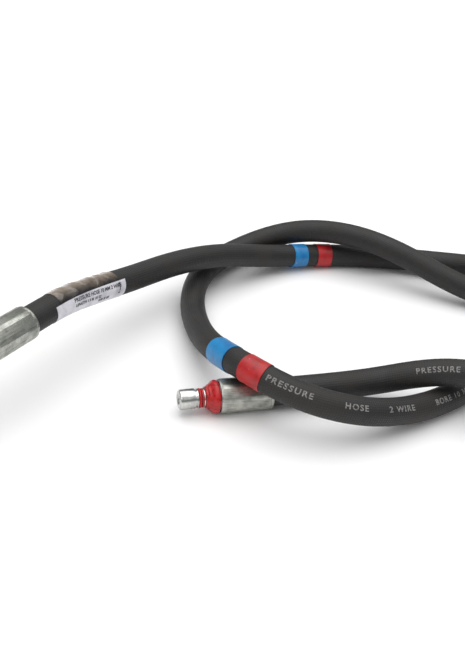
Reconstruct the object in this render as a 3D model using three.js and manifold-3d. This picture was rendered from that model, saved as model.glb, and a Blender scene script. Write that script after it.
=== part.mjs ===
// Hydraulic hose assembly: a two-wire-braid rubber hose of nominal bore 10 mm that lies in a loose
// double loop, with a crimped push-in plug on one end and a crimped 90 degree elbow with a swivel nut
// on the other. Millimetres, +Z up. The origin is on the floor under the middle of the whole assembly,
// and the plug points to -X.
import * as THREE from "three";
import { NURBSCurve } from "three/addons/curves/NURBSCurve.js";
import { mergeVertices } from "three/addons/utils/BufferGeometryUtils.js";
import Module from "manifold-3d";

const wasm = await Module();
wasm.setup();

// ---- driving dimensions ----
const GAP = 0.3; // left between faces that touch on the real hose

const HOSE_R = 8.75; // outside of the rubber cover
const BORE_R = 5;
const TUBE_WALL = 1.2;
const BRAID_WALL = 0.4;
const STEPS = 76; // stations along the hose
const COVER_SIDES = 12;
const LAYER_SIDES = 8;

const FERRULE_LENGTH = 33.5;
const FERRULE_FLAT_R = 10.6; // half the width across two crimp flats
const FERRULE_RIDGE_R = 11;
const FERRULE_HOLE_R = 9.2;
const CRIMP_FLATS = 8;
const FERRULE_END_R = 10.3; // where the end chamfers start
const FERRULE_BLANK_R = 12;
const HOSE_INSIDE = 1.5; // the cut end of the hose stops this far behind the ferrule's front face

const FLOW_R = 2.75; // bore through both inserts
const TAIL_LENGTH = 29;
const TAIL_R = 4;
const BARB_R = 4.3;
const BARBS = 3;
const BARBED_LENGTH = 24;
const TAIL_LEAD = 1; // plain end of the tail before its first barb
const BARB_RISE = 0.7; // parts of a barb's pitch, where its crest starts and ends
const BARB_BACK = 0.85;
const BARB_STEP = 0.1;
const COLLAR_R = 8.8;
const COLLAR_LENGTH = HOSE_INSIDE - GAP;

const TIP_R = 6.3;
const LAND_R = 6;
const NECK_R = 5.6;
const SEAL_GROOVE_R = 4.05;
const NECK_LENGTH = 9;
const SEAL_GROOVE = [9.8, 13.2]; // from the ferrule's front face
const LOCK_GROOVE = [14, 15];
const LOCK_GROOVE_R = 5.5;
const PLUG_LENGTH = 24.9;
const TIP_CHAMFER = 1;

const ELBOW_R = 6.4;
const ELBOW_BEND_R = 21;
const ELBOW_STRAIGHT = 9;
const ELBOW_HEIGHT = 50; // axis of the ferrule above the nut's lower face

const NUT_FLATS = 24;
const NUT_HEIGHT = 20;
const NUT_THREAD_R = 9.2; // M20 x 1.5 inside thread, at its crests
const NUT_THREAD_DEPTH = 14;
const NUT_NECK_R = 6.9;
const NUT_LEAD_IN = 1.5; // 45 degree chamfer at the thread's mouth, drawn from below the face
const NUT_SEAT = 1; // height of the sloping seat between thread and neck
const NUT_FACE_R = 11.7; // where the 30 degree chamfers of the hexagon start
const NOSE_TIP_Z = 5.6;
const NOSE_R = 8.7;
const CONE_SLOPE = Math.tan(THREE.MathUtils.degToRad(12)); // half of the 24 degree cone

const ROUND = 20; // sides of a large turned piece
const SMALL_ROUND = 14;

// ---- the route of the hose ----
// Control points of one smooth curve, from the cut end in the plug's ferrule to the one in the
// elbow's. Each crossing is a long low hump of one run over the other.
const ROUTE = [
  [-113, -33, 10.6], [-101, -33, 10.6], [-77, -33, 10.6], [-45, -33, 10.6], [-9, -36, 14], [27, -50, 31],
  [65, -74, 34], [103, -110, 21], [143, -142, 12], [189, -158, 9], [235, -149, 9], [268, -114, 9],
  [278, -67, 9], [264, -22, 9], [230, 11, 9], [187, 31, 9], [145, 48, 9], [107, 70, 13],
  [75, 101, 25], [41, 131, 32], [-2, 155.5, 27], [-46, 155, 12.5], [-84, 130, 9], [-103.5, 89.5, 9],
  [-110, 47, 11], [-111, 5, 21.5], [-102, -36, 35], [-76, -66, 30], [-31, -75, 18.5], [18, -61, 9],
  [61, -40.5, 9], [101, -21.5, 17], [134, 6, 30], [148, 43, 32], [142, 83, 22], [114, 113, 12],
  [63, 134, 9], [14, 142, 9], [-33, 133, 14], [-76, 116, 28], [-117, 96, 33], [-148, 73, 36],
  [-175, 50, 43], [-201, 26, 50], [-217, 11, 50], [-233, -4, 50], [-249, -19, 50],
];

function smoothCurve(points) {
  const degree = 3;
  const spans = points.length - degree;
  const knots = [];
  for (let i = 0; i <= points.length + degree; i++) {
    knots.push(THREE.MathUtils.clamp(i - degree, 0, spans));
  }
  const weighted = points.map(([x, y, z]) => new THREE.Vector4(x, y, z, 1));
  return new NURBSCurve(degree, knots, weighted);
}

const line = smoothCurve(ROUTE);
line.arcLengthDivisions = 4000;
const HOSE_LENGTH = line.getLength();

// One station: the centre of the hose, and the sideways and upward directions of its section.
function station(i) {
  const centre = line.getPointAt(i / STEPS);
  const along = line.getTangentAt(i / STEPS);
  const side = new THREE.Vector3().crossVectors(new THREE.Vector3(0, 0, 1), along).normalize();
  const up = new THREE.Vector3().crossVectors(along, side);
  return { centre, along, side, up };
}

const STATIONS = Array.from({ length: STEPS + 1 }, (_, i) => station(i));

// The hose is straight between two stations, so a place between them is a mix of the two.
function placeAt(distance) {
  const at = THREE.MathUtils.clamp((distance / HOSE_LENGTH) * STEPS, 0, STEPS);
  const i = Math.min(Math.floor(at), STEPS - 1);
  const mix = (key) => STATIONS[i][key].clone().lerp(STATIONS[i + 1][key], at - i);
  return { centre: mix("centre"), along: mix("along"), side: mix("side"), up: mix("up") };
}

// A stretch of the hose between two distances from its start, as a path for a section.
class HoseStretch extends THREE.Curve {
  constructor(from, to) {
    super();
    const step = HOSE_LENGTH / STEPS;
    const inside = STATIONS.map((_, i) => i * step).filter((d) => d > from + 0.1 && d < to - 0.1);
    this.places = [from, ...inside, to].map(placeAt);
    this.steps = this.places.length - 1;
  }
  getSpacedPoints() {
    return this.places.map((place) => place.centre);
  }
  computeFrenetFrames() {
    return {
      tangents: this.places.map((place) => place.along),
      normals: this.places.map((place) => place.side),
      binormals: this.places.map((place) => place.up),
    };
  }
}

function polygon(Kind, radius, sides) {
  const corners = [];
  for (let i = 0; i < sides; i++) {
    const angle = (i / sides) * 2 * Math.PI - Math.PI / 2;
    corners.push(new THREE.Vector2(Math.cos(angle), Math.sin(angle)).multiplyScalar(radius));
  }
  const outline = new Kind().setFromPoints(corners);
  outline.closePath();
  return outline;
}

// A sleeve around the hose's centreline.
function sleeve(innerR, outerR, outerSides, innerSides, from = 0, to = HOSE_LENGTH) {
  const ring = polygon(THREE.Shape, outerR, outerSides);
  ring.holes.push(polygon(THREE.Path, innerR, innerSides));
  const stretch = new HoseStretch(from, to);
  return new THREE.ExtrudeGeometry(ring, { steps: stretch.steps, extrudePath: stretch });
}

// ---- solids for the cuts and joins ----
function solid(geometry) {
  const bare = new THREE.BufferGeometry();
  const loose = geometry.index ? geometry.toNonIndexed() : geometry;
  bare.setAttribute("position", loose.getAttribute("position"));
  const merged = mergeVertices(bare, 1e-4);
  const mesh = new wasm.Mesh({
    numProp: 3,
    vertProperties: new Float32Array(merged.getAttribute("position").array),
    triVerts: new Uint32Array(merged.index.array),
  });
  return new wasm.Manifold(mesh);
}

function geometryOf(body) {
  const mesh = body.getMesh();
  const geometry = new THREE.BufferGeometry();
  geometry.setAttribute("position", new THREE.BufferAttribute(mesh.vertProperties, 3));
  geometry.setIndex(new THREE.BufferAttribute(mesh.triVerts, 1));
  const flat = geometry.toNonIndexed();
  flat.computeVertexNormals();
  return flat;
}

// A turned piece about +Z, from an outline of [radius, height] points that closes on itself.
function turned(outline, sides) {
  const points = [...outline, outline[0]].map(([r, h]) => new THREE.Vector2(r, h));
  return new THREE.LatheGeometry(points, sides).rotateX(Math.PI / 2);
}

// A ring of round section about +Z.
function roundRing(centreR, wireR, height, sides) {
  const outline = [];
  const corners = 8;
  for (let i = 0; i < corners; i++) {
    const angle = (i / corners) * 2 * Math.PI;
    outline.push([centreR + wireR * Math.cos(angle), height + wireR * Math.sin(angle)]);
  }
  return turned(outline, sides);
}

// The barbed tail that both inserts push into the hose, with the collar that fills the ferrule's mouth.
// Heights are measured outwards from the ferrule's front face.
function tailOutline(boreR) {
  const outline = [[boreR, -TAIL_LENGTH], [TAIL_R, -TAIL_LENGTH]];
  const barbPitch = BARBED_LENGTH / BARBS;
  for (let i = 0; i < BARBS; i++) {
    const start = -TAIL_LENGTH + TAIL_LEAD + i * barbPitch;
    const crest = start + barbPitch * BARB_RISE;
    const back = start + barbPitch * BARB_BACK;
    outline.push([TAIL_R, start], [BARB_R, crest], [BARB_R, back], [TAIL_R, back + BARB_STEP]);
  }
  outline.push([TAIL_R, -COLLAR_LENGTH], [COLLAR_R, -COLLAR_LENGTH], [COLLAR_R, 0]);
  return outline;
}

function plugInsert() {
  const [sealFrom, sealTo] = SEAL_GROOVE;
  const [lockFrom, lockTo] = LOCK_GROOVE;
  return turned([
    ...tailOutline(FLOW_R),
    [NECK_R, 0], [NECK_R, NECK_LENGTH], [LAND_R, NECK_LENGTH],
    [LAND_R, sealFrom], [SEAL_GROOVE_R, sealFrom], [SEAL_GROOVE_R, sealTo], [LAND_R, sealTo],
    [LAND_R, lockFrom], [LOCK_GROOVE_R, lockFrom], [LOCK_GROOVE_R, lockTo], [TIP_R, lockTo],
    [TIP_R, PLUG_LENGTH - TIP_CHAMFER], [TIP_R - TIP_CHAMFER, PLUG_LENGTH], [FLOW_R, PLUG_LENGTH],
  ], ROUND);
}

const O_RING_WIRE_R = 0.9;
const O_RING_CENTRE_R = SEAL_GROOVE_R + GAP + O_RING_WIRE_R;
const BACK_UP_WIDTH = 0.9;
const BACK_UP_PLAY = 0.2; // between the ring and the side of its groove

function plugORing() {
  return roundRing(O_RING_CENTRE_R, O_RING_WIRE_R, SEAL_GROOVE[1] - GAP - O_RING_WIRE_R, SMALL_ROUND);
}

function plugBackUpRing() {
  const low = SEAL_GROOVE[0] + BACK_UP_PLAY;
  const high = low + BACK_UP_WIDTH;
  const inner = SEAL_GROOVE_R + GAP;
  return turned([[inner, low], [LAND_R, low], [LAND_R, high], [inner, high]], SMALL_ROUND);
}

// The flared rubber ring that keeps dirt out of the coupling.
const DUST_RING_FLARE = [[9, GAP], [10.1, 0.9], [10.5, 2.2], [10.1, 3.4], [8.2, 5.6], [7, 7.6]];
const DUST_RING_LIP_R = 6.5;

function plugDustRing() {
  const inner = NECK_R + GAP;
  const top = NECK_LENGTH - GAP;
  const outline = [[inner, GAP], ...DUST_RING_FLARE, [DUST_RING_LIP_R, top], [inner, top]];
  return turned(outline, ROUND);
}

// A bar about +Z that another piece is cut down to. Its end chamfers start at endR.
function chamferedBlank(bottom, top, endR, barR, slope) {
  const rise = (barR - endR) * slope;
  return turned([
    [0, bottom], [endR, bottom], [barR, bottom + rise], [barR, top - rise], [endR, top], [0, top],
  ], ROUND);
}

// A crimped sleeve: eight flats with rounded ridges between them, chamfered at both ends.
function ferrule() {
  const outline = new THREE.Shape();
  const half = Math.PI / CRIMP_FLATS;
  const flatEnd = Math.acos(FERRULE_FLAT_R / FERRULE_RIDGE_R);
  const corners = [];
  for (let i = 0; i < CRIMP_FLATS; i++) {
    const middle = i * 2 * half - Math.PI / 2;
    for (const angle of [middle - flatEnd, middle + flatEnd, middle + half]) {
      corners.push(new THREE.Vector2(Math.cos(angle), Math.sin(angle)).multiplyScalar(FERRULE_RIDGE_R));
    }
  }
  outline.setFromPoints(corners);
  outline.closePath();
  outline.holes.push(polygon(THREE.Path, FERRULE_HOLE_R, ROUND));
  const sleeveBody = new THREE.ExtrudeGeometry(outline, { depth: FERRULE_LENGTH, bevelEnabled: false });
  sleeveBody.translate(0, 0, -FERRULE_LENGTH);
  const blank = chamferedBlank(-FERRULE_LENGTH, 0, FERRULE_END_R, FERRULE_BLANK_R, 1);
  return geometryOf(solid(sleeveBody).intersect(solid(blank)));
}

// ---- the elbow: ferrule side along +Z of its own frame, nose side along +X after the bend ----
const ELBOW_REACH = ELBOW_STRAIGHT + ELBOW_BEND_R;

class ElbowPath extends THREE.Curve {
  constructor(startsAt, endsAt) {
    super();
    this.startsAt = startsAt;
    this.endsAt = endsAt;
    this.steps = 10;
  }
  getSpacedPoints() {
    return this.frames().map((frame) => frame.point);
  }
  computeFrenetFrames() {
    const frames = this.frames();
    return {
      tangents: frames.map((frame) => frame.along),
      normals: frames.map((frame) => frame.out),
      binormals: frames.map(() => new THREE.Vector3(0, -1, 0)),
    };
  }
  frames() {
    const bendSteps = this.steps - 2;
    const list = [this.frame(0, this.startsAt - ELBOW_STRAIGHT)];
    for (let i = 0; i <= bendSteps; i++) list.push(this.frame((i / bendSteps) * (Math.PI / 2), 0));
    list.push(this.frame(Math.PI / 2, this.endsAt - ELBOW_BEND_R));
    return list;
  }
  frame(turn, beyond) {
    const along = new THREE.Vector3(Math.sin(turn), 0, Math.cos(turn));
    const out = new THREE.Vector3(-Math.cos(turn), 0, Math.sin(turn));
    const point = new THREE.Vector3(ELBOW_BEND_R, 0, ELBOW_STRAIGHT);
    point.addScaledVector(out, ELBOW_BEND_R).addScaledVector(along, beyond);
    return { point, along, out };
  }
}

function elbowSweep(radius, startsAt, endsAt) {
  const path = new ElbowPath(startsAt, endsAt);
  const round = polygon(THREE.Shape, radius, SMALL_ROUND);
  return new THREE.ExtrudeGeometry(round, { steps: path.steps, extrudePath: path });
}

const SHOULDER_Z = NUT_THREAD_DEPTH - GAP; // top of the nose's shoulder, under the nut's neck

const CONE_TOP_Z = SHOULDER_Z - 1.5; // the cone ends under a short shoulder
const CONE_TOP_R = NOSE_R - 1;
const CONE_GROOVE = [8.4, 10.9]; // heights of the O-ring's groove in the cone
const CONE_GROOVE_DEPTH = 1.3; // from the cone's surface at the lower side of the groove
const NOSE_BACK_Z = SHOULDER_Z + 1;

function coneR(height) {
  return CONE_TOP_R - (CONE_TOP_Z - height) * CONE_SLOPE;
}

// The sealing nose about +Z, heights measured up from the nut's lower face. It is hollow to innerR.
function noseOutline(innerR) {
  const [low, high] = CONE_GROOVE;
  const floorR = coneR(low) - CONE_GROOVE_DEPTH;
  return [
    [innerR, NOSE_TIP_Z], [coneR(NOSE_TIP_Z), NOSE_TIP_Z], [coneR(low), low], [floorR, low],
    [floorR, high], [coneR(high), high], [CONE_TOP_R, CONE_TOP_Z], [NOSE_R, CONE_TOP_Z],
    [NOSE_R, SHOULDER_Z], [ELBOW_R, NOSE_BACK_Z], [innerR, NOSE_BACK_Z],
  ];
}

function coneORing() {
  const [low, high] = CONE_GROOVE;
  const centreR = coneR(low) - CONE_GROOVE_DEPTH + GAP + O_RING_WIRE_R;
  return roundRing(centreR, O_RING_WIRE_R, (low + high) / 2, SMALL_ROUND);
}

// Turns a piece made about +Z at the nut so that it sits on the elbow's nose end.
function toNose(geometry) {
  return geometry.rotateY(-Math.PI / 2).translate(ELBOW_HEIGHT, 0, ELBOW_REACH);
}

const PILOT_R = 1; // the joined pieces are hollow to here before the flow bore is cut through them all
const CUT_PAST = 1; // a cutting piece reaches this far past what it cuts

function elbowInsert() {
  const tail = solid(turned([...tailOutline(PILOT_R), [PILOT_R, 0]], SMALL_ROUND));
  const body = solid(elbowSweep(ELBOW_R, -COLLAR_LENGTH, ELBOW_HEIGHT - NOSE_BACK_Z));
  const nose = solid(toNose(turned(noseOutline(PILOT_R), ROUND)));
  const flowEnd = ELBOW_HEIGHT - NOSE_TIP_Z + CUT_PAST;
  const flow = solid(elbowSweep(FLOW_R, -TAIL_LENGTH - CUT_PAST, flowEnd));
  return geometryOf(tail.add(body).add(nose).subtract(flow));
}

function nutHole() {
  return turned([
    [0, -CUT_PAST], [NUT_THREAD_R + NUT_LEAD_IN, -CUT_PAST], [NUT_THREAD_R, NUT_LEAD_IN - CUT_PAST],
    [NUT_THREAD_R, NUT_THREAD_DEPTH], [NUT_NECK_R, NUT_THREAD_DEPTH + NUT_SEAT],
    [NUT_NECK_R, NUT_HEIGHT + CUT_PAST], [0, NUT_HEIGHT + CUT_PAST],
  ], ROUND);
}

function swivelNut() {
  const cornerR = NUT_FLATS / 2 / Math.cos(Math.PI / 6);
  const bar = { depth: NUT_HEIGHT, bevelEnabled: false };
  const hexagon = new THREE.ExtrudeGeometry(polygon(THREE.Shape, cornerR, 6), bar);
  const blank = chamferedBlank(0, NUT_HEIGHT, NUT_FACE_R, cornerR + 1, Math.tan(Math.PI / 6));
  return geometryOf(solid(hexagon).intersect(solid(blank)).subtract(solid(nutHole())));
}

// ---- finishes ----
const finish = {
  rubber: new THREE.MeshStandardMaterial({ color: 0x2b2a2a, roughness: 0.75, metalness: 0 }),
  wire: new THREE.MeshStandardMaterial({ color: 0xb9a06a, roughness: 0.4, metalness: 1 }),
  zinc: new THREE.MeshStandardMaterial({ color: 0xb4b5ae, roughness: 0.35, metalness: 1 }),
  redRubber: new THREE.MeshStandardMaterial({ color: 0xc0181c, roughness: 0.45, metalness: 0 }),
  blackRubber: new THREE.MeshStandardMaterial({ color: 0x161616, roughness: 0.5, metalness: 0 }),
  blueTape: new THREE.MeshStandardMaterial({ color: 0x287dbe, roughness: 0.4, metalness: 0 }),
  redTape: new THREE.MeshStandardMaterial({ color: 0xbe2328, roughness: 0.4, metalness: 0 }),
  paper: new THREE.MeshStandardMaterial({ color: 0xe4e4e8, roughness: 0.6, metalness: 0 }),
  film: new THREE.MeshStandardMaterial({ color: 0x7d746b, roughness: 0.15, metalness: 0 }),
};

function piece(name, geometry, material) {
  const mesh = new THREE.Mesh(geometry, material);
  mesh.name = name;
  return mesh;
}

// ---- the hose, layer by layer from the bore ----
function hose() {
  const group = new THREE.Group();
  const tubeR = BORE_R + TUBE_WALL;
  const innerBraidR = tubeR + GAP + BRAID_WALL;
  const outerBraidR = innerBraidR + GAP + BRAID_WALL;
  const layer = (inner, outer) => sleeve(inner, outer, LAYER_SIDES, LAYER_SIDES);
  group.add(piece("hose_inner_tube", layer(BORE_R, tubeR), finish.rubber));
  group.add(piece("hose_inner_braid", layer(tubeR + GAP, innerBraidR), finish.wire));
  group.add(piece("hose_outer_braid", layer(innerBraidR + GAP, outerBraidR), finish.wire));
  const cover = sleeve(outerBraidR + GAP, HOSE_R, COVER_SIDES, LAYER_SIDES);
  group.add(piece("hose_cover", cover, finish.rubber));
  return group;
}

// ---- what is wrapped round the hose: distances are from its start in the plug's ferrule ----
const WRAP_R = HOSE_R + GAP; // inside of a band or label
const BAND_WALL = 0.3;
const BANDS = [
  { name: "marker_band_blue_plug_side", middle: 1086, width: 19, tape: "blueTape" },
  { name: "marker_band_red_plug_side", middle: 1116, width: 15, tape: "redTape" },
  { name: "marker_band_red_elbow_side", middle: 1598, width: 12.5, tape: "redTape" },
  { name: "marker_band_blue_elbow_side", middle: 1620, width: 12.5, tape: "blueTape" },
];
const LABEL_FROM = 1802;
const LABEL_LENGTH = 60;
const LABEL_WALL = 0.2;
const FILM_OVERLAP = 1; // the film reaches this far past the label at each end
const FILM_WALL = 0.2;

function wrap(name, from, length, innerR, wall, material) {
  const band = sleeve(innerR, innerR + wall, COVER_SIDES, COVER_SIDES, from, from + length);
  return piece(name, band, material);
}

function wraps() {
  const group = new THREE.Group();
  for (const { name, middle, width, tape } of BANDS) {
    group.add(wrap(name, middle - width / 2, width, WRAP_R, BAND_WALL, finish[tape]));
  }
  group.add(wrap("hose_label", LABEL_FROM, LABEL_LENGTH, WRAP_R, LABEL_WALL, finish.paper));
  const filmFrom = LABEL_FROM - FILM_OVERLAP;
  const filmLength = LABEL_LENGTH + 2 * FILM_OVERLAP;
  const filmInnerR = WRAP_R + LABEL_WALL + GAP;
  group.add(wrap("label_film", filmFrom, filmLength, filmInnerR, FILM_WALL, finish.film));
  return group;
}

// ---- the plug end, made about +Z and laid along -X ----
function plugEnd() {
  const group = new THREE.Group();
  group.add(piece("plug_insert", plugInsert(), finish.zinc));
  group.add(piece("plug_ferrule", ferrule(), finish.zinc));
  group.add(piece("plug_o_ring", plugORing(), finish.redRubber));
  group.add(piece("plug_back_up_ring", plugBackUpRing(), finish.redRubber));
  group.add(piece("plug_dust_ring", plugDustRing(), finish.redRubber));
  const [x, y, z] = ROUTE[0];
  group.position.set(x - HOSE_INSIDE, y, z);
  group.rotation.set(0, -Math.PI / 2, 0);
  return group;
}

// ---- the elbow end, made along +Z with the nose towards +X, and stood on its nut ----
function elbowEnd() {
  const group = new THREE.Group();
  group.add(piece("elbow_insert", elbowInsert(), finish.zinc));
  group.add(piece("elbow_ferrule", ferrule(), finish.zinc));
  group.add(piece("swivel_nut", toNose(swivelNut()), finish.zinc));
  group.add(piece("cone_o_ring", toNose(coneORing()), finish.blackRubber));
  const end = new THREE.Vector3(...ROUTE[ROUTE.length - 1]);
  const outwards = end.clone().sub(new THREE.Vector3(...ROUTE[ROUTE.length - 2])).normalize();
  const down = new THREE.Vector3(0, 0, -1);
  const across = new THREE.Vector3().crossVectors(outwards, down);
  group.quaternion.setFromRotationMatrix(new THREE.Matrix4().makeBasis(down, across, outwards));
  group.position.copy(end).addScaledVector(outwards, HOSE_INSIDE);
  return group;
}

const assembly = new THREE.Group();
assembly.add(hose(), wraps(), plugEnd(), elbowEnd());
export default assembly;
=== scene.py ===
# %% [markdown]
# # A hydraulic hose assembly, built as a lesson
#
# The real thing is a rubber pressure hose with a steel fitting crimped on each end: a push-in plug
# with red rubber rings on one, and a bent pipe with a swivel nut on the other. Its solid parts come
# as a imported CAD model, which is loaded first and never changed. Every visible piece is then modelled
# again with more detail, in the place of its CAD node, which is then hidden.

# %% Load the frame
import math
from bisect import bisect_right

import bmesh
import bpy
from mathutils import Matrix, Vector, noise


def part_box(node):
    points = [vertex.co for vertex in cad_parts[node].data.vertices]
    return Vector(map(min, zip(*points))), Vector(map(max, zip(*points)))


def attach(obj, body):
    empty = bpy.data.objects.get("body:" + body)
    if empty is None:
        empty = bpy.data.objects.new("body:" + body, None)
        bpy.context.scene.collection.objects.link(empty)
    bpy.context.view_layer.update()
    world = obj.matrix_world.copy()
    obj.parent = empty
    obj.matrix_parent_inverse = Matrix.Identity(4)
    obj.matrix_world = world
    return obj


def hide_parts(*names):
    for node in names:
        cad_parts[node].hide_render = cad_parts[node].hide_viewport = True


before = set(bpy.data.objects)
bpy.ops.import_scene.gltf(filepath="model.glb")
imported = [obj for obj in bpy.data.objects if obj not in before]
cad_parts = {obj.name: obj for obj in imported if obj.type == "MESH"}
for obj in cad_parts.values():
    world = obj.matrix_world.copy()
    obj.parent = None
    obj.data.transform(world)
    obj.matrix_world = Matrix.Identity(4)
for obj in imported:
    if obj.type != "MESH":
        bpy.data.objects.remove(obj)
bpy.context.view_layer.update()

# %% [markdown]
# The camera comes first, because the length of hose that it doesn't see has to stay within a limit.
# It looks from a little above, with a long lens, and is tilted sideways a few degrees. It is placed
# by where it looks on the floor, its heading, how far it looks down, and how far away it stands. The
# plug's own box gives the starting point.

# %% Camera
PAST_PLUG_TIP = 0.0619
BEHIND_PLUG = 0.0972
CAMERA_HEADING = math.radians(18.8)  # clockwise from +Y
CAMERA_DOWN = math.radians(32)
CAMERA_ROLL = math.radians(6.53)
CAMERA_DISTANCE = 0.6567
LENS_MM = 51.18

plug_low, plug_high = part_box("plug_insert")
plug_axis_y = (plug_low.y + plug_high.y) / 2
looks_at = Vector((plug_low.x + PAST_PLUG_TIP, plug_axis_y + BEHIND_PLUG, 0))
level = math.cos(CAMERA_DOWN)
forward = Vector(
    (math.sin(CAMERA_HEADING) * level, math.cos(CAMERA_HEADING) * level, -math.sin(CAMERA_DOWN))
)
level_right = Vector((math.cos(CAMERA_HEADING), -math.sin(CAMERA_HEADING), 0))
level_up = level_right.cross(forward)
camera_right = math.cos(CAMERA_ROLL) * level_right + math.sin(CAMERA_ROLL) * level_up
camera_up = camera_right.cross(forward)

camera_data = bpy.data.cameras.new("camera")
camera_data.lens = LENS_MM
camera_data.clip_start = 0.01
camera = bpy.data.objects.new("camera", camera_data)
bpy.context.collection.objects.link(camera)
turned_to = Matrix((camera_right, camera_up, -forward)).transposed()
stands_at = looks_at - forward * CAMERA_DISTANCE
camera.matrix_world = Matrix.Translation(stands_at) @ turned_to.to_4x4()
bpy.context.scene.camera = camera
print("camera at", [round(value, 4) for value in stands_at])

# %% [markdown]
# The line of the hose is one NURBS curve: a few dozen points pull it along, and it stays smooth
# between them. The list is the same one that the CAD model uses, from the cut end inside the plug's
# ferrule to the one inside the elbow's ferrule. Where the hose crosses itself, the upper run rises in
# a long low hump. The curve is turned into a mesh once, because its vertices then give places along
# the line, measured in metres of hose.

# %% The line of the hose
MM = 0.001
TOUCHING = 0.001 * MM  # nearer than this, two vertices are one
ROUTE = [
    (-0.113, -0.033, 0.0106), (-0.101, -0.033, 0.0106), (-0.077, -0.033, 0.0106), (-0.045, -0.033, 0.0106),
    (-0.009, -0.036, 0.014), (0.027, -0.05, 0.031), (0.065, -0.074, 0.034), (0.103, -0.11, 0.021),
    (0.143, -0.142, 0.012), (0.189, -0.158, 0.009), (0.235, -0.149, 0.009), (0.268, -0.114, 0.009),
    (0.278, -0.067, 0.009), (0.264, -0.022, 0.009), (0.23, 0.011, 0.009), (0.187, 0.031, 0.009),
    (0.145, 0.048, 0.009), (0.107, 0.07, 0.013), (0.075, 0.101, 0.025), (0.041, 0.131, 0.032),
    (-0.002, 0.1555, 0.027), (-0.046, 0.155, 0.0125), (-0.084, 0.13, 0.009), (-0.1035, 0.0895, 0.009),
    (-0.11, 0.047, 0.011), (-0.111, 0.005, 0.0215), (-0.102, -0.036, 0.035), (-0.076, -0.066, 0.03),
    (-0.031, -0.075, 0.0185), (0.018, -0.061, 0.009), (0.061, -0.0405, 0.009), (0.101, -0.0215, 0.017),
    (0.134, 0.006, 0.03), (0.148, 0.043, 0.032), (0.142, 0.083, 0.022), (0.114, 0.113, 0.012),
    (0.063, 0.134, 0.009), (0.014, 0.142, 0.009), (-0.033, 0.133, 0.014), (-0.076, 0.116, 0.028),
    (-0.117, 0.096, 0.033), (-0.148, 0.073, 0.036), (-0.175, 0.05, 0.043), (-0.201, 0.026, 0.05),
    (-0.217, 0.011, 0.05), (-0.233, -0.004, 0.05), (-0.249, -0.019, 0.05),
]


def nothing_selected():
    if bpy.context.mode != "OBJECT":
        bpy.ops.object.mode_set(mode="OBJECT")
    bpy.ops.object.select_all(action="DESELECT")


def select_only(piece):
    nothing_selected()
    piece.select_set(True)
    bpy.context.view_layer.objects.active = piece


def points_along(route):
    curve = bpy.data.curves.new("route", "CURVE")
    curve.dimensions = "3D"
    spline = curve.splines.new("NURBS")
    spline.points.add(len(route) - 1)
    for point, place in zip(spline.points, route):
        point.co = (*place, 1)
    spline.order_u = 4
    spline.use_endpoint_u = True
    spline.resolution_u = 40
    guide = bpy.data.objects.new("route", curve)
    bpy.context.collection.objects.link(guide)
    select_only(guide)
    bpy.ops.object.convert(target="MESH")
    guide = bpy.context.object
    points = [vertex.co.copy() for vertex in guide.data.vertices]
    bpy.ops.object.delete()
    return points


line = points_along(ROUTE)
reached = [0.0]
for before, after in zip(line, line[1:]):
    reached.append(reached[-1] + (after - before).length)
HOSE_LENGTH = reached[-1]
print("hose length", round(HOSE_LENGTH, 4), "m from", len(line), "points")

# %% [markdown]
# Everything on the hose is placed by its distance along the line and an angle round it. At any
# distance there are three directions: along the hose, sideways (level, to its left), and upwards
# from both. An angle of 0 is the left side and 90 degrees is the top.

# %% Places on the hose
def centre_at(distance):
    distance = min(max(distance, 0.0), HOSE_LENGTH)
    high = min(bisect_right(reached, distance), len(reached) - 1)
    low = high - 1
    part = (distance - reached[low]) / (reached[high] - reached[low])
    return line[low].lerp(line[high], part)


def section_at(distance):
    step = 2 * MM
    along = (centre_at(distance + step) - centre_at(distance - step)).normalized()
    side = Vector((0, 0, 1)).cross(along).normalized()
    return centre_at(distance), along, side, along.cross(side)


def on_hose(distance, angle, radius):
    centre, along, side, up = section_at(distance)
    return centre + radius * (math.cos(angle) * side + math.sin(angle) * up)


# %% [markdown]
# A finished piece gets a material and the body it moves with, and the CAD nodes it stands for are
# hidden. One function does that for every piece, so none is missed.

# %% Handing a piece over
HOSE_BODY = "hose_with_ends"
NUT_BODY = "nut"
FULL_TURN = 2 * math.pi


def hand_over(piece, material, nodes=(), body=HOSE_BODY):
    piece.data.materials.clear()
    piece.data.materials.append(material)
    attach(piece, body)
    if nodes:
        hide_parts(*nodes)
    size = [round(value / MM, 1) for value in piece.dimensions]
    print(f"{piece.name}: {len(piece.data.polygons)} faces, {size} mm")
    return piece


# %% [markdown]
# A material in Blender is a small net of nodes. One function adds any node, sets it up, and joins it
# to the ones before it. A second one turns a colour as a painter writes it, in sRGB hex, into the
# linear numbers that light is counted in.

# %% Helpers for materials
def linear(hex_colour):
    channels = [int(hex_colour[i : i + 2], 16) / 255 for i in (1, 3, 5)]
    low = [value / 12.92 for value in channels]
    high = [((value + 0.055) / 1.055) ** 2.4 for value in channels]
    mixed = [a if value <= 0.04045 else b for value, a, b in zip(channels, low, high)]
    return (*mixed, 1.0)


def add_node(tree, kind, inputs=None, **settings):
    made = tree.nodes.new("ShaderNode" + kind)
    for name, value in settings.items():
        setattr(made, name, value)
    for name, value in (inputs or {}).items():
        if isinstance(value, bpy.types.NodeSocket):
            tree.links.new(value, made.inputs[name])
        else:
            made.inputs[name].default_value = value
    return made


def new_material(name):
    material = bpy.data.materials.new(name)
    material.use_nodes = True
    material.node_tree.nodes.clear()
    return material, material.node_tree


# Every solid finish ends in one Principled shader, so its inputs close the material.
def close_material(tree, surface):
    shader = add_node(tree, "BsdfPrincipled", surface)
    add_node(tree, "OutputMaterial", {"Surface": shader.outputs["BSDF"]})


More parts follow.
